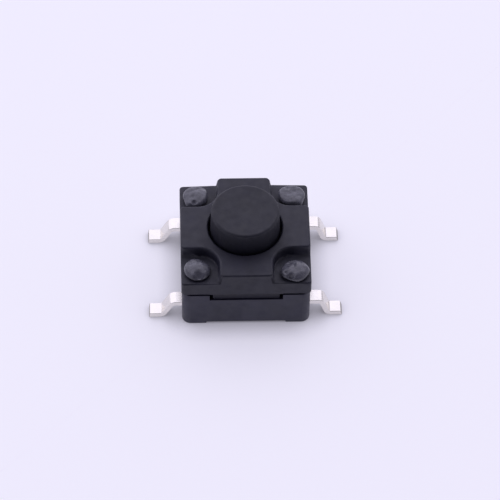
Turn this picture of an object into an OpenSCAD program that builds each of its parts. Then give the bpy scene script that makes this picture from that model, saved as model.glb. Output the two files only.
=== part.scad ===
// Tactile push button switch for surface mounting.
// A square base and a staked cover hold a round button over a snap disc,
// and two stamped terminal strips end in four gull-wing feet.
// Millimetres. The board plane is z = 0, the feet point along X, and the
// origin is the centre of the footprint.

/* [Body] */
// Width of the base between the two sides that carry the feet
body_w = 6.0; // [5.8:0.05:6.6]
// Depth of the base and of the cover
body_d = 6.0; // [5.8:0.05:6.6]
// Height of the cover's top above the board
body_top = 3.5; // [3.4:0.05:3.9]
// Height of the seam between base and cover
seam_z = 2.06; // [1.96:0.02:2.2]
// Gap between the board and the underside of the base
under_gap = 0.11; // [0.05:0.01:0.2]
// Radius of the base's four upright corners
base_corner_r = 0.42; // [0.3:0.01:0.5]

/* [Standing pads] */
// Length of a corner pad along each side of the base
pad_size = 1.15; // [0.8:0.05:1.4]
// Radius of a pad's inner corner
pad_corner_r = 0.3; // [0.1:0.05:0.4]
// Height of the pads above the board, so that the feet touch first
pad_lift = 0.01; // [0.01:0.01:0.03]

/* [Cover] */
// How far the cover stands proud of the base on the two foot sides
cover_proud = 0.03; // [0:0.01:0.08]
// Radius of the cover's upright corners, below the pockets
cover_corner_r = 0.16; // [0.15:0.01:0.4]
// Width of the front and back arms of the raised cross
arm_w = 2.45; // [2.2:0.05:2.8]
// Depth of the left and right arms of the raised cross
arm_d = 2.55; // [2.3:0.05:2.8]
// Depth of the four corner pockets below the cover's top
pocket_depth = 0.58; // [0.4:0.02:0.7]
// Radius of a pocket's inner corner
pocket_corner_r = 0.95; // [0.7:0.05:1.1]
// How far a pocket's wall leans out from its top edge to its floor
pocket_draft = 0.1; // [0:0.02:0.16]
// Radius of the outer corners of the four arms
arm_corner_r = 0.24; // [0.1:0.01:0.3]

/* [Seam groove] */
// Height of the shallow groove between base and cover
groove_h = 0.11; // [0.06:0.01:0.2]
// How far the groove lies behind the face of the base
groove_d = 0.05; // [0.02:0.01:0.1]

/* [Locating tongues] */
// Width of the notch in the top edge of the base, front and back
notch_w = 3.42; // [2.6:0.02:3.6]
// Depth of that notch below the seam
notch_depth = 0.33; // [0.16:0.01:0.4]
// Gap between the cover's tongue and each end of the notch
tongue_end_gap = 0.15; // [0.08:0.01:0.2]
// Gap between the tongue and the floor of the notch
tongue_floor_gap = 0.04; // [0.03:0.01:0.08]
// How far the tongue's face lies behind the face of the base
tongue_inset = 0.14; // [0.05:0.01:0.18]
// Thickness of the tongue
tongue_t = 0.35; // [0.25:0.01:0.4]

/* [Staked posts] */
// Radius of the four posts
post_r = 0.42; // [0.3:0.01:0.46]
// Distance from a foot side of the base to a post's centre
post_inset_x = 0.75; // [0.7:0.01:0.85]
// Distance from the front or back of the base to a post's centre
post_inset_y = 0.83; // [0.75:0.01:0.9]
// Radial clearance of a post in its hole in the cover
post_clearance = 0.03; // [0.02:0.01:0.05]
// Radius of a formed post head
head_r = 0.63; // [0.56:0.01:0.66]
// Height of a head above the floor of its pocket
head_h = 0.42; // [0.34:0.01:0.5]
// Drop of the domed top from its middle to its rim
head_sag = 0.2; // [0.1:0.01:0.22]
// Radius of the rolled rim under the dome
head_rim_r = 0.17; // [0.08:0.01:0.18]

/* [Button] */
// Height of the button's top above the board
button_top = 4.65; // [4.3:0.05:7]
// Radius of the button where it leaves the cover
button_r = 1.66; // [1.4:0.01:1.74]
// How much smaller the radius is at the button's top
button_draft = 0.06; // [0:0.01:0.1]
// Radius of the button's top edge
button_edge_r = 0.14; // [0.04:0.01:0.25]
// Radial clearance of the button in the cover
button_clearance = 0.08; // [0.04:0.01:0.15]
// Width of the collar that keeps the button in the cover
collar_w = 0.35; // [0.25:0.01:0.38]
// Thickness of the collar
collar_t = 0.4; // [0.3:0.01:0.42]
// Height of the collar's underside above the seam
collar_lift = 0.12; // [0.05:0.01:0.16]
// Radius of the stem end that presses the snap disc
stem_r = 0.7; // [0.4:0.05:1]
// How far the button travels
travel = 0.25; // [0.1:0.01:0.28]
// Gap between faces of the button and the pieces that stop it
rest_gap = 0.02; // [0.01:0.005:0.03]

/* [Snap disc] */
// Radius of the snap disc
disc_r = 1.8; // [1.6:0.05:1.85]
// Height of the disc's middle above its rim
disc_h = 0.3; // [0.28:0.01:0.34]
// Thickness of the disc
disc_t = 0.06; // [0.04:0.01:0.1]
// Radial clearance of the disc in the pit of the base
disc_clearance = 0.08; // [0.05:0.01:0.15]

/* [Terminals] */
// How far the feet reach out from the base
foot_reach = 1.54; // [1.4:0.02:1.8]
// Distance between the two feet on one side
foot_pitch = 4.5; // [4.4:0.01:4.6]
// Width of a foot
foot_w = 0.65; // [0.55:0.01:0.75]
// Thickness of the strip
strip_t = 0.25; // [0.18:0.01:0.28]
// Height of the strip's upper face where it leaves the body
strip_top = 1.08; // [1:0.01:1.15]
// Length of strip that leaves the body before the first bend
strip_exit = 0.4; // [0.2:0.01:0.45]
// Steepness of the strip between its two bends
strip_slope = 70; // [55:1:80]
// Radius of both bends, at the middle of the strip
bend_r = 0.22; // [0.16:0.01:0.25]
// Inner radius of the horseshoe under the rim of the disc
shoe_inner_r = 1.38; // [1.3:0.01:1.45]
// How far the horseshoe runs into the base beyond the wall of the pit
shoe_grip = 0.12; // [0.06:0.01:0.2]
// How far the horseshoe's arms reach in front of the middle
shoe_reach = 1.3; // [0.6:0.05:1.4]
// Width of the neck that joins the horseshoe to its strip
shoe_neck_w = 1.0; // [0.6:0.05:1.4]
// Width of the tongue that leads to the centre contact
lead_w = 1.1; // [0.8:0.05:1.3]
// Thickness of that tongue, which lies under the floor of the pit
lead_t = 0.12; // [0.08:0.01:0.14]
// Radius of the centre contact
contact_r = 0.42; // [0.3:0.01:0.5]
// Height of the centre contact above the floor of the pit
contact_h = 0.03; // [0.01:0.005:0.04]

/* [Hidden] */
$fn = 64;

// Length by which a cutter passes the face it opens
over = 0.2;

// Cover and pockets
cover_w = body_w + 2 * cover_proud;
pocket_floor = body_top - pocket_depth;
pocket_lean = pocket_draft / pocket_depth;

// An arm's corner arc crosses its two faces by this much, because an arc that
// only touches them can get lost in the exact solids
arc_set_out = 0.015;

// Posts
post_x = body_w / 2 - post_inset_x;
post_y = body_d / 2 - post_inset_y;

// Button, from the disc upwards
pit_floor = strip_top;
disc_top = pit_floor + disc_h;
stem_bottom = disc_top + rest_gap;
hole_r = button_r + button_clearance;
collar_r = button_r + collar_w;
well_r = collar_r + 2 * button_clearance;
well_spare = 0.14;
collar_bottom = seam_z + collar_lift;
collar_top = collar_bottom + collar_t;
recess_r = collar_r + button_clearance;
recess_top = collar_top + rest_gap;
pit_r = disc_r + disc_clearance;
well_floor = collar_bottom - travel - well_spare;

// Terminals
strip_y = foot_pitch / 2;
strip_mid = strip_top - strip_t / 2;
bend_run = bend_r * sin(strip_slope);
bend_drop = bend_r * (1 - cos(strip_slope));
slope_length = (strip_mid - strip_t / 2 - 2 * bend_drop) / sin(strip_slope);
bend_steps = 10;
foot_tip_x = body_w / 2 + foot_reach;
first_bend_x = body_w / 2 + strip_exit;
second_bend_x = first_bend_x + 2 * bend_run + slope_length * cos(strip_slope);

// Repeats its children in the four quarters, mirrored
module in_each_corner() {
    for (mx = [0, 1], my = [0, 1])
        mirror([mx, 0, 0]) mirror([0, my, 0]) children();
}

// Repeats its children at the front and at the back
module front_and_back() {
    for (my = [0, 1])
        mirror([0, my, 0]) children();
}

// Outline of a rectangle with round corners
module rounded_outline(width, depth, corner_r) {
    square([width - 2 * corner_r, depth], center = true);
    square([width, depth - 2 * corner_r], center = true);
    for (sx = [-1, 1], sy = [-1, 1])
        translate([sx * (width / 2 - corner_r), sy * (depth / 2 - corner_r)])
            circle(corner_r);
}

// One piece of pocket wall that leans back, cut along X from the given start
module leaning_cut(edge, start, end) {
    translate([start, 0, pocket_floor])
        rotate([90, 0, 90])
            linear_extrude(end - start)
                polygon([
                    [edge + pocket_draft, 0],
                    [edge - over * pocket_lean, pocket_depth + over],
                    [body_d, pocket_depth + over],
                    [body_d, 0]
                ]);
}

// Space of the corner pocket at +X +Y, open to both outer sides
module corner_pocket() {
    centre_x = arm_w / 2 + pocket_corner_r;
    centre_y = arm_d / 2 + pocket_corner_r;
    translate([centre_x, centre_y, pocket_floor])
        cylinder(
            h = pocket_depth + over,
            r1 = pocket_corner_r - pocket_draft,
            r2 = pocket_corner_r + over * pocket_lean
        );
    leaning_cut(arm_d / 2, centre_x, body_w);
    mirror([1, -1, 0]) leaning_cut(arm_w / 2, centre_y, body_w);
}

// Waste that rounds the outer corner of a back arm, leaning with its wall
module arm_corner_waste(half_arm, reach) {
    lean = atan(pocket_lean);
    r = arm_corner_r;
    centre = r - arc_set_out;
    intersection() {
        translate([half_arm, reach, body_top])
            rotate([0, -lean, 0])
                translate([-centre, -centre, -body_top])
                    difference() {
                        cube([r + over, r + over, body_top + over]);
                        cylinder(h = body_top + over, r = r);
                    }
        translate([0, 0, pocket_floor]) cube([body_w, body_d, body_top]);
    }
}

// Outline of the pad at +X +Y, flush with both faces of the base
module pad_outline() {
    intersection() {
        rounded_outline(body_w, body_d, base_corner_r);
        translate([body_w / 2 - pad_size, body_d / 2 - pad_size]) {
            translate([pad_corner_r, 0]) square(pad_size);
            translate([0, pad_corner_r]) square(pad_size);
            translate([pad_corner_r, pad_corner_r]) circle(pad_corner_r);
        }
    }
}

// Post with its formed head, at its place in the +X +Y corner
module post() {
    cap_r = (head_r * head_r + head_sag * head_sag) / (2 * head_sag);
    translate([post_x, post_y, 0]) {
        translate([0, 0, seam_z - over])
            cylinder(h = pocket_floor - seam_z + 2 * over, r = post_r);
        translate([0, 0, pocket_floor])
            rotate_extrude()
                intersection() {
                    translate([0, head_h - cap_r]) circle(cap_r);
                    union() {
                        square([head_r - head_rim_r, head_h]);
                        translate([0, head_rim_r]) square([head_r, head_h]);
                        translate([head_r - head_rim_r, head_rim_r]) circle(head_rim_r);
                    }
                }
    }
}

// Notch in the top edge of the base, at the back
module notch() {
    translate([-notch_w / 2, 0, seam_z - notch_depth])
        cube([notch_w, body_d, notch_depth + over]);
}

// Points of an arc about a centre, from one angle to another
function arc(centre, radius, from, to) =
    [for (i = [0:bend_steps]) let (a = from + (to - from) * i / bend_steps)
        centre + radius * [cos(a), sin(a)]];

// The same points mirrored to the other foot, in the opposite order
function other_side(points) =
    [for (i = [len(points) - 1:-1:0]) [-points[i].x, points[i].y]];

// Side view of a strip from foot to foot, with both gull wings
module strip_outline() {
    inner = bend_r - strip_t / 2;
    outer = bend_r + strip_t / 2;
    first = [first_bend_x, strip_mid - bend_r];
    second = [second_bend_x, strip_t / 2 + bend_r];
    upper = concat(
        arc(first, outer, 90, 90 - strip_slope),
        arc(second, inner, 270 - strip_slope, 270),
        [[foot_tip_x, strip_t]]
    );
    lower = concat(
        [[foot_tip_x, 0]],
        arc(second, outer, 270, 270 - strip_slope),
        arc(first, inner, 90 - strip_slope, 90)
    );
    polygon(concat(other_side(upper), upper, lower, other_side(lower)));
}

// Strip with a foot at each end, across the body at the given Y
module strip(y) {
    translate([0, y + foot_w / 2, 0])
        rotate([90, 0, 0])
            linear_extrude(foot_w) strip_outline();
}

// Front terminal, with the sunk tongue that carries the centre contact
module front_strip() {
    strip(-strip_y);
    translate([0, 0, strip_top - strip_t]) {
        translate([-lead_w / 2, -strip_y, 0]) cube([lead_w, strip_y, lead_t]);
        cylinder(h = lead_t, r = lead_w / 2);
        cylinder(h = strip_t + contact_h, r = contact_r);
    }
}

// Back terminal, with the horseshoe that the rim of the disc stands on
module back_strip() {
    shoe_outer_r = pit_r + shoe_grip;
    strip(strip_y);
    translate([0, 0, strip_top - strip_t])
        linear_extrude(strip_t)
            difference() {
                union() {
                    circle(shoe_outer_r);
                    translate([-shoe_neck_w / 2, 0]) square([shoe_neck_w, strip_y]);
                }
                circle(shoe_inner_r);
                translate([-body_w, -body_d - shoe_reach]) square([2 * body_w, body_d]);
            }
}

// Moulded base with its standing pads, pit, well, notches and four staked posts
module base() {
    color("#26262b")
    difference() {
        union() {
            translate([0, 0, under_gap])
                linear_extrude(seam_z - under_gap)
                    rounded_outline(body_w, body_d, base_corner_r);
            in_each_corner() {
                translate([0, 0, pad_lift])
                    linear_extrude(under_gap + over) pad_outline();
                post();
            }
        }
        translate([0, 0, pit_floor]) cylinder(h = seam_z, r = pit_r);
        translate([0, 0, well_floor]) cylinder(h = seam_z, r = well_r);
        front_and_back() notch();
        front_strip();
        back_strip();
    }
}

// Moulded cover with its raised cross, corner pockets, button hole and tongues
module cover() {
    color("#2c2c31")
    difference() {
        union() {
            translate([0, 0, seam_z + groove_h])
                linear_extrude(body_top - seam_z - groove_h)
                    rounded_outline(cover_w, body_d, cover_corner_r);
            translate([0, 0, seam_z])
                linear_extrude(groove_h + over)
                    rounded_outline(
                        body_w - 2 * groove_d, body_d - 2 * groove_d, cover_corner_r - groove_d
                    );
            front_and_back() tongue();
        }
        cylinder(h = body_top + over, r = hole_r);
        cylinder(h = recess_top, r = recess_r);
        in_each_corner() {
            corner_pocket();
            arm_corner_waste(arm_w / 2, body_d / 2);
            mirror([1, -1, 0]) arm_corner_waste(arm_d / 2, cover_w / 2);
            translate([post_x, post_y, 0])
                cylinder(h = body_top, r = post_r + post_clearance);
        }
    }
}

// Tongue under the cover that fills the notch in the base, at the back
module tongue() {
    width = notch_w - 2 * tongue_end_gap;
    height = notch_depth - tongue_floor_gap;
    translate([-width / 2, body_d / 2 - tongue_inset - tongue_t, seam_z - height])
        cube([width, tongue_t, height + groove_h]);
}

// Round button with its collar inside the cover and the stem that presses the disc
module button() {
    top_r = button_r - button_draft;
    color("#2a2a2f")
    rotate_extrude() {
        polygon([
            [0, stem_bottom],
            [stem_r, stem_bottom],
            [stem_r, collar_bottom],
            [collar_r, collar_bottom],
            [collar_r, collar_top],
            [button_r, collar_top],
            [top_r, button_top - button_edge_r],
            [top_r - button_edge_r, button_top - button_edge_r],
            [top_r - button_edge_r, button_top],
            [0, button_top]
        ]);
        translate([top_r - button_edge_r, button_top - button_edge_r]) circle(button_edge_r);
    }
}

// Domed spring disc that stands on the horseshoe
module snap_disc() {
    rise = disc_h - disc_t;
    shell_r = (disc_r * disc_r + rise * rise) / (2 * rise);
    color("silver")
    translate([0, 0, pit_floor])
        rotate_extrude()
            intersection() {
                translate([0, disc_h - shell_r])
                    difference() {
                        circle(shell_r, $fn = 256);
                        circle(shell_r - disc_t, $fn = 256);
                    }
                square([disc_r, disc_h]);
            }
}

// Front terminal in its metal colour
module terminal_front() {
    color("gainsboro") front_strip();
}

// Back terminal in its metal colour
module terminal_back() {
    color("gainsboro") back_strip();
}

base();
cover();
button();
snap_disc();
terminal_front();
terminal_back();
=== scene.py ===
"""Studio scene of a tactile push button switch on a pale table."""
import math

import bmesh
import bpy
from mathutils import Matrix, Vector, noise


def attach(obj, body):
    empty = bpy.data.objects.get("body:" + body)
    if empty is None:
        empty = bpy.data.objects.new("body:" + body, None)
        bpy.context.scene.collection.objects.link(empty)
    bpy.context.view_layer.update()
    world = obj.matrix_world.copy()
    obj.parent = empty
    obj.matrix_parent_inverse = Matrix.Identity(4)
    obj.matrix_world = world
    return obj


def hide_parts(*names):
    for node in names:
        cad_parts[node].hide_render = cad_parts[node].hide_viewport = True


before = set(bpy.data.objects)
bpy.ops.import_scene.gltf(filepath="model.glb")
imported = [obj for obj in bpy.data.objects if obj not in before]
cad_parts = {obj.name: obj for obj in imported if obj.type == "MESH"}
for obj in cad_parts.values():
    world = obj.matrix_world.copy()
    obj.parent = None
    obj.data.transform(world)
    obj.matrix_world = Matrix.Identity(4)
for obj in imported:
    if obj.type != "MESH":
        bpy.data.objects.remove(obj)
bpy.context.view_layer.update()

MM = 0.001

# Camera, fitted to the photograph
IMAGE_SIZE = 500
CAMERA_DISTANCE = 178.125 * MM
CAMERA_ELEVATION = math.radians(51.115)
CAMERA_TURN = math.radians(-2.219)
CAMERA_ROLL = math.radians(0.938)
CAMERA_LENS = 269.7
SENSOR_WIDTH = 36.0
CLIP_NEAR = 10 * MM
CLIP_FAR = 10.0
ORIGIN_PIXEL_X = 244.3
ORIGIN_PIXEL_Y = 273.14

# Table, with its width in metres
TABLE_SIZE = 6.0
TABLE_COLOUR = (0.48, 0.478, 0.482)
TABLE_DARKENS = 0.995
TABLE_MOTTLE_MM = 40
TABLE_ROUGHNESS = 0.9
TABLE_SPECULAR = 0.1
TABLE_GLOW_COLOUR = (0.94, 0.91, 1.09)
TABLE_GLOW = 0.56
# Reach of the painted contact shadow in the table's glow
TABLE_SHADE_REACH = 1.2 * MM

# Light
LIGHT_COLOUR = (0.965, 0.935, 1.1)
SKY_STRENGTH = 0.68
SKY_DARK_STRENGTH = 0.05
SKY_DARK_SIDE = (0.1, -0.72, 0.69)
SKY_DARK_FROM = 0.3
SKY_DARK_TO = 0.9
SOFTBOX_SIZE = 600 * MM
SOFTBOX_PLACE = Vector((-30, 150, 190)) * MM
SOFTBOX_POWER = 0.7

# Surfaces, with colours as linear red, green and blue
BASE_COLOUR = (0.012, 0.012, 0.031)
COVER_COLOUR = (0.005, 0.005, 0.0155)
BUTTON_COLOUR = (0.004, 0.004, 0.012)
HEAD_COLOUR = (0.07, 0.07, 0.088)
BASE_ROUGHNESS = 0.5
COVER_ROUGHNESS = 0.55
BUTTON_ROUGHNESS = 0.6
RESIN_IOR = 1.53
PLATING_COLOUR = (0.83, 0.8, 0.755)
PLATING_ROUGHNESS = 0.2
# Sheared ends: bare metal, darker still as painted shade for the dark line along the tips of the
# right feet
CUT_END_AND_SHADOW_COLOUR = (0.32, 0.3, 0.27)
CUT_ROUGHNESS = 0.45
STEEL_COLOUR = (0.62, 0.62, 0.6)
STEEL_ROUGHNESS = 0.25

# Noise: the part of its range that is used, and how finely it is broken up
NOISE_LOW = 0.3
NOISE_HIGH = 0.7
SOFT_DETAIL = 2.0
MEDIUM_DETAIL = 3.0
FINE_DETAIL = 4.0

# Marks on the plain mouldings, with sizes in millimetres
FLOW_SIZE = 0.9
FLOW_LIGHTENS = 1.5
PATCH_SIZE = 0.35
PATCH_SMOOTHER = 0.05
PATCH_ROUGHER = 0.07
GRAIN_SIZE = 0.05
GRAIN_DEPTH = 0.0015

# Marks on the formed heads, with sizes in millimetres
MOTTLE_SIZE = 0.22
MOTTLE_LIGHTENS = 1.6
SHINE_SIZE = 0.15
SHINE_SMOOTHEST = 0.2
SHINE_ROUGHEST = 0.3
DENT_SIZE = 0.12
DENT_DEPTH = 0.0015

# Marks on the metal, with sizes in millimetres
CLOUD_SIZE = 0.3
CLOUD_DULLS = 0.94
ROLLING_SIZE = 0.06
ROLLING_STRETCH = (0.15, 1, 1)
ROLLING_SMOOTHER = 0.06
ROLLING_ROUGHER = 0.1
ROLLING_DEPTH = 0.0004

# Rounding of the sharp edges, and the heights between which each applies, in millimetres
BASE_EDGE = 0.05
NOTCH_EDGE = 0.1
SEAM_EDGE = 0.02
COVER_EDGE = 0.09
BUTTON_EDGE = 0.03
METAL_EDGE = 0.025
BASE_FOOT_TO = 0.6
NOTCH_FLOOR_FROM = 1.6
NOTCH_FLOOR_TO = 1.85
SEAM_TO = 2.4

# Handling of the meshes, with lengths in millimetres
SHARP_ANGLE = math.radians(35)
FLAT_ANGLE = math.radians(0.5)
EDGE_SEGMENTS = 4
ROUND_PROFILE = 0.5
BIG_FACES_COUNT = 80
TOUCH = 0.001
MERGE_WITHIN = 0.0001
FIRST_MATERIAL = 0
SECOND_MATERIAL = 1

# Tongues of the cover, in millimetres: their CAD faces and how far these move outwards
TONGUE_FACE = 2.86
TONGUE_TOP = 2.06
TONGUE_OUT = 0.08

# Sheared ends of the strips: how far they lean in, in millimetres, and how their faces are told
RIGHT_END_LEAN = 0.07
LEFT_END_LEAN = 0.02
FACING_ENDWAYS = 0.5

# Bends of the left feet, in millimetres from the middle and from their CAD places
STRIP_TOP = 1.08
BENDS_FROM = 3.35
BENDS_TO = 4.1
LOW_BEND_OUT = 0.07
HIGH_BEND_IN = 0.12

# Posts, in millimetres: cut off under their CAD heads and drawn up into the formed ones
POST_X = 2.25
POST_Y = 2.17
POST_CUT = 2.9
POST_TOP = 2.94
POCKET_FLOOR = 2.92

# Formed heads, in millimetres
HEAD_RADIUS = 0.63
HEAD_HEIGHT = 0.42
HEAD_EDGE_DROP = 0.12
HEAD_EDGE_POWER = 13
HEAD_RIM = 0.1
HEAD_RINGS = 26
HEAD_SEGMENTS = 96
RIM_STEPS = 8

# Unevenness of the heads: rises in millimetres, waves to the millimetre, and the noise's places
WAVE_HEIGHT = 0.04
WAVE_PITCH = 2.6
RIPPLE_HEIGHT = 0.018
RIPPLE_PITCH = 7
RIPPLE_SEED = 20
LUMPS_FADE_POWER = 12
OUTLINE_SHARE = 0.05
OUTLINE_PITCH = 1.3
OUTLINE_SEED = 40


def new_material(name):
    """A new node material, with its node tree and its shader."""
    material = bpy.data.materials.new(name)
    material.use_nodes = True
    shader = material.node_tree.nodes["Principled BSDF"]
    return material, material.node_tree, shader


def noise_value(tree, feature_mm, detail=MEDIUM_DETAIL, stretch=(1, 1, 1)):
    """Noise in the object's own space, with features of the given size."""
    place = tree.nodes.new("ShaderNodeTexCoord")
    mapping = tree.nodes.new("ShaderNodeMapping")
    mapping.inputs["Scale"].default_value = stretch
    texture = tree.nodes.new("ShaderNodeTexNoise")
    texture.inputs["Scale"].default_value = 1 / (feature_mm * MM)
    texture.inputs["Detail"].default_value = detail
    tree.links.new(place.outputs["Object"], mapping.inputs["Vector"])
    tree.links.new(mapping.outputs["Vector"], texture.inputs["Vector"])
    return texture.outputs["Fac"]


def remap(tree, value, low, high, from_low=NOISE_LOW, from_high=NOISE_HIGH):
    """A value moved from one range to another."""
    node = tree.nodes.new("ShaderNodeMapRange")
    node.inputs["From Min"].default_value = from_low
    node.inputs["From Max"].default_value = from_high
    node.inputs["To Min"].default_value = low
    node.inputs["To Max"].default_value = high
    tree.links.new(value, node.inputs["Value"])
    return node.outputs["Result"]


def combine(tree, operation, first, second):
    """The sum or the product of two values."""
    node = tree.nodes.new("ShaderNodeMath")
    node.operation = operation
    tree.links.new(first, node.inputs[0])
    tree.links.new(second, node.inputs[1])
    return node.outputs["Value"]


def blend_colours(tree, factor, first, second):
    """A colour between two others, by a factor from the tree."""
    node = tree.nodes.new("ShaderNodeMix")
    node.data_type = "RGBA"
    node.inputs["A"].default_value = (*first, 1)
    node.inputs["B"].default_value = (*second, 1)
    tree.links.new(factor, node.inputs["Factor"])
    return node.outputs["Result"]


def scaled(colour, factor):
    """A colour made lighter or darker by a factor."""
    return tuple(channel * factor for channel in colour)


def add_bump(tree, shader, height, depth_mm):
    """Bump of the given depth on the shader."""
    bump = tree.nodes.new("ShaderNodeBump")
    bump.inputs["Distance"].default_value = depth_mm * MM
    bump.inputs["Strength"].default_value = 1.0
    tree.links.new(height, bump.inputs["Height"])
    tree.links.new(bump.outputs["Normal"], shader.inputs["Normal"])


def moulded_plastic(name, colour, roughness):
    """Matte moulded plastic with a fine spark-eroded grain and faint flow marks."""
    material, tree, shader = new_material(name)
    flow = noise_value(tree, FLOW_SIZE, FINE_DETAIL)
    lighter = scaled(colour, FLOW_LIGHTENS)
    colour_out = blend_colours(tree, remap(tree, flow, 0, 1), colour, lighter)
    tree.links.new(colour_out, shader.inputs["Base Color"])
    patches = noise_value(tree, PATCH_SIZE)
    rough_out = remap(tree, patches, roughness - PATCH_SMOOTHER, roughness + PATCH_ROUGHER)
    tree.links.new(rough_out, shader.inputs["Roughness"])
    shader.inputs["IOR"].default_value = RESIN_IOR
    add_bump(tree, shader, noise_value(tree, GRAIN_SIZE, FINE_DETAIL), GRAIN_DEPTH)
    return material


def formed_plastic():
    """Smooth, greyed plastic of a post's head, pressed by a hot tool."""
    material, tree, shader = new_material("formed_plastic")
    mottle = noise_value(tree, MOTTLE_SIZE)
    lighter = scaled(HEAD_COLOUR, MOTTLE_LIGHTENS)
    colour_out = blend_colours(tree, remap(tree, mottle, 0, 1), HEAD_COLOUR, lighter)
    tree.links.new(colour_out, shader.inputs["Base Color"])
    shine = noise_value(tree, SHINE_SIZE, SOFT_DETAIL)
    rough_out = remap(tree, shine, SHINE_SMOOTHEST, SHINE_ROUGHEST)
    tree.links.new(rough_out, shader.inputs["Roughness"])
    shader.inputs["IOR"].default_value = RESIN_IOR
    add_bump(tree, shader, noise_value(tree, DENT_SIZE, SOFT_DETAIL), DENT_DEPTH)
    return material


def rolled_metal(name, colour, roughness):
    """Metal strip with faint clouds in its colour and rolling marks along its length."""
    material, tree, shader = new_material(name)
    shader.inputs["Metallic"].default_value = 1.0
    clouds = noise_value(tree, CLOUD_SIZE, FINE_DETAIL)
    duller = scaled(colour, CLOUD_DULLS)
    colour_out = blend_colours(tree, remap(tree, clouds, 0, 1), duller, colour)
    tree.links.new(colour_out, shader.inputs["Base Color"])
    rolling = noise_value(tree, ROLLING_SIZE, stretch=ROLLING_STRETCH)
    rough_out = remap(tree, rolling, roughness - ROLLING_SMOOTHER, roughness + ROLLING_ROUGHER)
    tree.links.new(rough_out, shader.inputs["Roughness"])
    add_bump(tree, shader, rolling, ROLLING_DEPTH)
    return material


def merge_close(shape):
    """Merges vertices that lie on each other, with the faces without area between them."""
    bmesh.ops.remove_doubles(shape, verts=shape.verts, dist=MERGE_WITHIN)


def cad_shape(node):
    """A CAD node's shape in millimetres, with its split vertices and flat faces merged."""
    shape = bmesh.new()
    shape.from_mesh(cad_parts[node].data)
    bmesh.ops.scale(shape, vec=(1 / MM,) * 3, verts=shape.verts)
    merge_close(shape)
    bmesh.ops.dissolve_limit(
        shape, angle_limit=FLAT_ANGLE, verts=shape.verts, edges=shape.edges
    )
    return shape


def soften(shape, edge_mm, low=-math.inf, high=math.inf):
    """Rounds a shape's sharp outer edges whose middle lies between two heights."""
    sharp = []
    for edge in shape.edges:
        middle = (edge.verts[0].co.z + edge.verts[1].co.z) / 2
        if low < middle < high and edge.calc_face_angle_signed(0) > SHARP_ANGLE:
            sharp.append(edge)
    bmesh.ops.bevel(
        shape, geom=sharp, offset=edge_mm, offset_type="OFFSET", segments=EDGE_SEGMENTS,
        profile=ROUND_PROFILE, affect="EDGES", clamp_overlap=False,
    )
    merge_close(shape)


def finish_piece(shape, node, body, slot, *materials):
    """Turns a shape into a piece of the scene that stands for its CAD node."""
    bmesh.ops.scale(shape, vec=(MM,) * 3, verts=shape.verts)
    mesh = bpy.data.meshes.new(node + "_finished")
    shape.to_mesh(mesh)
    shape.free()
    for material in materials:
        mesh.materials.append(material)
    mesh.shade_smooth()
    piece = bpy.data.objects.new(node + "_finished", mesh)
    bpy.context.scene.collection.objects.link(piece)
    evened = piece.modifiers.new("even_faces", "WEIGHTED_NORMAL")
    evened.weight = BIG_FACES_COUNT
    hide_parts(node)
    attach(piece, body)


def head_surface(place, share, seed, lumps):
    """How far a head's surface lies above its plain dome."""
    fade = 1 - share ** LUMPS_FADE_POWER
    wave_place = Vector((place.x * WAVE_PITCH, place.y * WAVE_PITCH, seed))
    ripple_place = Vector((place.x * RIPPLE_PITCH, place.y * RIPPLE_PITCH, seed + RIPPLE_SEED))
    rise = WAVE_HEIGHT * noise.noise(wave_place) + RIPPLE_HEIGHT * noise.noise(ripple_place)
    for lump_x, lump_y, radius, height in lumps:
        distance = math.hypot(place.x - lump_x, place.y - lump_y) / radius
        rise += height * math.exp(-distance ** 2)
    return rise * fade


def head_outline(angle, seed, lobes):
    """A head's radius in one direction: a wavy circle with lobes where plastic ran out."""
    around = Vector((
        math.cos(angle) * OUTLINE_PITCH, math.sin(angle) * OUTLINE_PITCH, seed + OUTLINE_SEED
    ))
    radius = HEAD_RADIUS * (1 + OUTLINE_SHARE * noise.noise(around))
    for direction, width, reach in lobes:
        turn = math.remainder(angle - math.radians(direction), math.tau)
        radius += reach * math.exp(-(turn / math.radians(width)) ** 2)
    return radius


def head_profile(sag):
    """Share of the radius, height and lumpiness of each ring, from the middle to the underside."""
    profile = []
    for ring in range(1, HEAD_RINGS + 1):
        share = math.sin(math.pi / 2 * ring / HEAD_RINGS)
        drop = sag * share ** 2 + HEAD_EDGE_DROP * share ** HEAD_EDGE_POWER
        profile.append((share, HEAD_HEIGHT - drop, 1))
    rim_top = HEAD_HEIGHT - sag - HEAD_EDGE_DROP
    for step in range(1, RIM_STEPS + 1):
        angle = math.pi / 2 * step / RIM_STEPS
        inset = HEAD_RIM * (1 - math.cos(angle)) / HEAD_RADIUS
        profile.append((1 - inset, rim_top * (1 - math.sin(angle)), 0))
    return profile


def add_head(shape, side_x, side_y, seed, sag, shift, lobes, lumps):
    """Adds the head of one post, pressed out of shape by the hot tool.

    A lobe is its direction and width in degrees and its reach, which is negative for a flat.
    A lump is its place on the head, its radius and its height, which is negative for a dent.
    """
    centre = Vector((side_x * POST_X + shift[0], side_y * POST_Y + shift[1], POCKET_FLOOR))
    rings = []
    for share, height, lumpy in head_profile(sag):
        ring = []
        for segment in range(HEAD_SEGMENTS):
            angle = math.tau * segment / HEAD_SEGMENTS
            radius = share * head_outline(angle, seed, lobes)
            place = Vector((math.cos(angle), math.sin(angle), 0)) * radius
            place.z = height + lumpy * head_surface(place, share, seed, lumps)
            ring.append(shape.verts.new(centre + place))
        rings.append(ring)
    peak = Vector((0, 0, HEAD_HEIGHT + head_surface(Vector(), 0, seed, lumps)))
    top = shape.verts.new(centre + peak)
    faces = []
    for segment in range(HEAD_SEGMENTS):
        following = (segment + 1) % HEAD_SEGMENTS
        faces.append(shape.faces.new((top, rings[0][segment], rings[0][following])))
        for inner, outer in zip(rings, rings[1:]):
            faces.append(shape.faces.new(
                (inner[segment], outer[segment], outer[following], inner[following])
            ))
    faces.append(shape.faces.new(list(reversed(rings[-1]))))
    for face in faces:
        face.material_index = SECOND_MATERIAL


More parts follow.
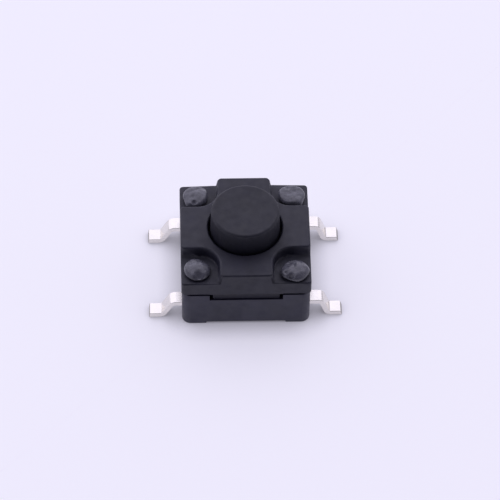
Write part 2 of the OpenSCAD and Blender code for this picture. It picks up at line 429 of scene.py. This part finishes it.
def add_heads(shape):
    """Adds the four heads as the photograph shows them: front left and right, back left and right."""
    add_head(
        shape, -1, -1, seed=1.3, sag=0.14, shift=(-0.01, -0.03),
        lobes=[(50, 40, -0.12), (250, 40, 0.03)],
        lumps=[(0.06, -0.62, 0.18, -0.16), (0.42, 0.42, 0.3, -0.08), (0.05, 0.05, 0.4, 0.05)],
    )
    add_head(
        shape, 1, -1, seed=5.1, sag=0.14, shift=(0.02, -0.19),
        lobes=[(5, 25, 0.06), (100, 45, -0.06), (200, 25, 0.06), (245, 25, -0.05)],
        lumps=[
            (-0.22, -0.47, 0.11, -0.24), (-0.42, -0.25, 0.08, -0.08),
            (0.32, 0.15, 0.2, 0.07), (0.25, -0.25, 0.15, 0.03), (-0.25, 0.3, 0.25, -0.08),
        ],
    )
    add_head(
        shape, -1, 1, seed=9.4, sag=0.04, shift=(0, 0.02),
        lobes=[(235, 20, 0.14), (280, 25, 0.02), (0, 40, -0.08), (90, 50, -0.12)],
        lumps=[
            (-0.1, -0.52, 0.1, -0.14), (-0.2, -0.22, 0.14, -0.05), (-0.26, 0.08, 0.14, -0.04),
            (0.2, -0.05, 0.3, 0.04), (0.35, 0.35, 0.12, -0.08),
        ],
    )
    add_head(
        shape, 1, 1, seed=14.2, sag=0.04, shift=(0, 0.01),
        lobes=[(303, 18, 0.16), (90, 50, -0.14)],
        lumps=[
            (0.3, -0.4, 0.15, 0.05), (-0.15, 0.3, 0.12, -0.08),
            (-0.1, -0.05, 0.12, -0.03), (0.15, 0.1, 0.12, -0.03),
        ],
    )


def replace_post_ends(shape):
    """Cuts the posts' CAD heads off and closes the posts again, a little inside the formed heads."""
    everything = list(shape.verts) + list(shape.edges) + list(shape.faces)
    bmesh.ops.bisect_plane(
        shape, geom=everything, plane_co=(0, 0, POST_CUT), plane_no=(0, 0, 1),
        clear_outer=True,
    )
    bmesh.ops.holes_fill(shape, edges=[edge for edge in shape.edges if edge.is_boundary])
    for vertex in shape.verts:
        if vertex.co.z > POST_CUT - TOUCH:
            vertex.co.z = POST_TOP


def finished_base(plastic, formed):
    """The base with rounded edges and its four posts' heads as the hot tool left them."""
    shape = cad_shape("base")
    soften(shape, SEAM_EDGE, low=NOTCH_FLOOR_TO, high=SEAM_TO)
    soften(shape, NOTCH_EDGE, low=NOTCH_FLOOR_FROM, high=NOTCH_FLOOR_TO)
    soften(shape, BASE_EDGE, high=BASE_FOOT_TO)
    replace_post_ends(shape)
    add_heads(shape)
    finish_piece(shape, "base", "housing", "base_plastic", plastic, formed)


def bring_tongues_out(shape):
    """Moves the tongues' faces outwards, which leaves a narrower slit under them."""
    for vertex in shape.verts:
        on_face = abs(abs(vertex.co.y) - TONGUE_FACE) < TOUCH
        if on_face and vertex.co.z < TONGUE_TOP + TOUCH:
            vertex.co.y += math.copysign(TONGUE_OUT, vertex.co.y)


def finished_cover(plastic):
    """The cover with its outer edges well rounded and those at the seam kept fine."""
    shape = cad_shape("cover")
    bring_tongues_out(shape)
    soften(shape, SEAM_EDGE, high=SEAM_TO)
    soften(shape, COVER_EDGE, low=SEAM_TO)
    finish_piece(shape, "cover", "housing", "cover_plastic", plastic)


def finished_button(plastic):
    """The button with rounded edges."""
    shape = cad_shape("button")
    soften(shape, BUTTON_EDGE)
    finish_piece(shape, "button", "button", "button_plastic", plastic)


def ease_left_slopes(shape):
    """Moves the two bends of each left foot apart, which makes its slope gentler."""
    for vertex in shape.verts:
        if BENDS_FROM < -vertex.co.x < BENDS_TO:
            height = min(1, vertex.co.z / STRIP_TOP)
            vertex.co.x -= LOW_BEND_OUT * (1 - height) - HIGH_BEND_IN * height


def lean_sheared_ends(shape, tip_x):
    """Leans a strip's two sheared ends in at the top, the right one more."""
    top_z = max(vertex.co.z for vertex in shape.verts if vertex.co.x > tip_x - TOUCH)
    for vertex in shape.verts:
        if abs(vertex.co.x) > tip_x - TOUCH and vertex.co.z > top_z - TOUCH:
            vertex.co.x -= RIGHT_END_LEAN if vertex.co.x > 0 else -LEFT_END_LEAN


def give_sheared_ends_bare_and_shadow_metal(shape, tip_x):
    """Gives the sheared ends of a strip its second material: bare metal, made darker as painted shade
    for the dark line along the right tips.
    """
    shape.normal_update()
    for face in shape.faces:
        at_tip = abs(face.calc_center_median().x) > tip_x - RIGHT_END_LEAN
        sheared = at_tip and abs(face.normal.x) > FACING_ENDWAYS
        face.material_index = SECOND_MATERIAL if sheared else FIRST_MATERIAL


def finished_terminal(node, plating, bare_metal_and_shadow):
    """A terminal strip with rounded edges and sheared ends that lean in at the top."""
    shape = cad_shape(node)
    ease_left_slopes(shape)
    tip_x = max(vertex.co.x for vertex in shape.verts)
    lean_sheared_ends(shape, tip_x)
    soften(shape, METAL_EDGE)
    give_sheared_ends_bare_and_shadow_metal(shape, tip_x)
    finish_piece(shape, node, "housing", "plated_strip", plating, bare_metal_and_shadow)


def paint(node, material):
    """Gives a CAD node its finished material."""
    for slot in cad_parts[node].material_slots:
        slot.material = material


def camera():
    """The camera at the photograph's viewpoint."""
    back = Vector((
        math.sin(CAMERA_TURN) * math.cos(CAMERA_ELEVATION),
        -math.cos(CAMERA_TURN) * math.cos(CAMERA_ELEVATION),
        math.sin(CAMERA_ELEVATION),
    ))
    right = (-back).cross(Vector((0, 0, 1))).normalized()
    up = back.cross(right)
    rolled_right = math.cos(CAMERA_ROLL) * right + math.sin(CAMERA_ROLL) * up
    rolled_up = math.cos(CAMERA_ROLL) * up - math.sin(CAMERA_ROLL) * right
    data = bpy.data.cameras.new("camera")
    data.sensor_width = SENSOR_WIDTH
    data.lens = CAMERA_LENS
    data.shift_x = (IMAGE_SIZE / 2 - ORIGIN_PIXEL_X) / IMAGE_SIZE
    data.shift_y = (ORIGIN_PIXEL_Y - IMAGE_SIZE / 2) / IMAGE_SIZE
    data.clip_start = CLIP_NEAR
    data.clip_end = CLIP_FAR
    eye = bpy.data.objects.new("camera", data)
    axes = Matrix((rolled_right, rolled_up, back)).transposed().to_4x4()
    eye.matrix_world = Matrix.Translation(back * CAMERA_DISTANCE) @ axes
    bpy.context.scene.collection.objects.link(eye)
    bpy.context.scene.camera = eye


def table_material():
    """Pale, nearly even table top. Ambient occlusion dims the glow the camera sees in narrow gaps and
    near the switch, as a painted contact shadow.
    """
    material, tree, shader = new_material("table")
    mottle = noise_value(tree, TABLE_MOTTLE_MM, SOFT_DETAIL)
    tone = blend_colours(tree, mottle, scaled(TABLE_COLOUR, TABLE_DARKENS), TABLE_COLOUR)
    tree.links.new(tone, shader.inputs["Base Color"])
    shader.inputs["Roughness"].default_value = TABLE_ROUGHNESS
    shader.inputs["Specular IOR Level"].default_value = TABLE_SPECULAR
    shader.inputs["Emission Color"].default_value = (*TABLE_GLOW_COLOUR, 1)
    ray = tree.nodes.new("ShaderNodeLightPath")
    # Painted contact shadow: ambient occlusion dims the glow the camera sees under the strips and
    # next to the body
    painted_contact_shadow = tree.nodes.new("ShaderNodeAmbientOcclusion")
    painted_contact_shadow.inputs["Distance"].default_value = TABLE_SHADE_REACH
    seen = combine(tree, "MULTIPLY", ray.outputs["Is Camera Ray"], painted_contact_shadow.outputs["AO"])
    seen = combine(tree, "ADD", seen, ray.outputs["Is Glossy Ray"])
    seen = combine(tree, "ADD", seen, ray.outputs["Is Transmission Ray"])
    glow = remap(tree, seen, 0, TABLE_GLOW, from_low=0, from_high=1)
    tree.links.new(glow, shader.inputs["Emission Strength"])
    return material


def table():
    """The pale table that the switch stands on."""
    half = TABLE_SIZE / 2
    corners = [(-half, -half, 0), (half, -half, 0), (half, half, 0), (-half, half, 0)]
    mesh = bpy.data.meshes.new("table")
    mesh.from_pydata(corners, [], [(0, 1, 2, 3)])
    mesh.materials.append(table_material())
    top = bpy.data.objects.new("table", mesh)
    bpy.context.scene.collection.objects.link(top)


def sky():
    """An even sky that is darker on the viewer's side, as a light tent is at its opening."""
    world = bpy.data.worlds.new("sky")
    world.use_nodes = True
    tree = world.node_tree
    background = tree.nodes["Background"]
    background.inputs["Color"].default_value = (*LIGHT_COLOUR, 1)
    direction = tree.nodes.new("ShaderNodeTexCoord")
    towards = tree.nodes.new("ShaderNodeVectorMath")
    towards.operation = "DOT_PRODUCT"
    towards.inputs[1].default_value = SKY_DARK_SIDE
    tree.links.new(direction.outputs["Generated"], towards.inputs[0])
    strength = remap(
        tree, towards.outputs["Value"], SKY_STRENGTH, SKY_DARK_STRENGTH,
        from_low=SKY_DARK_FROM, from_high=SKY_DARK_TO,
    )
    tree.links.new(strength, background.inputs["Strength"])
    bpy.context.scene.world = world


def softbox():
    """One large softbox above and behind, whose panel itself is kept out of the picture."""
    data = bpy.data.lights.new("softbox", "AREA")
    data.shape = "SQUARE"
    data.size = SOFTBOX_SIZE
    data.energy = SOFTBOX_POWER
    data.color = LIGHT_COLOUR
    box = bpy.data.objects.new("softbox", data)
    box.location = SOFTBOX_PLACE
    box.rotation_euler = (-SOFTBOX_PLACE).to_track_quat("-Z", "Y").to_euler()
    box.visible_camera = False
    bpy.context.scene.collection.objects.link(box)


def switch():
    """The finished pieces of the switch, each in the place of its CAD node."""
    base_plastic = moulded_plastic("base_plastic_finish", BASE_COLOUR, BASE_ROUGHNESS)
    finished_base(base_plastic, formed_plastic())
    finished_cover(moulded_plastic("cover_plastic_finish", COVER_COLOUR, COVER_ROUGHNESS))
    finished_button(moulded_plastic("button_plastic_finish", BUTTON_COLOUR, BUTTON_ROUGHNESS))
    plating = rolled_metal("plating_finish", PLATING_COLOUR, PLATING_ROUGHNESS)
    bare_metal_and_shadow = rolled_metal("cut_end_and_shadow_finish", CUT_END_AND_SHADOW_COLOUR, CUT_ROUGHNESS)
    for terminal in ("terminal_front", "terminal_back"):
        finished_terminal(terminal, plating, bare_metal_and_shadow)
    paint("snap_disc", rolled_metal("spring_steel_finish", STEEL_COLOUR, STEEL_ROUGHNESS))


camera()
table()
sky()
softbox()
switch()
bpy.context.scene.view_settings.view_transform = "Standard"
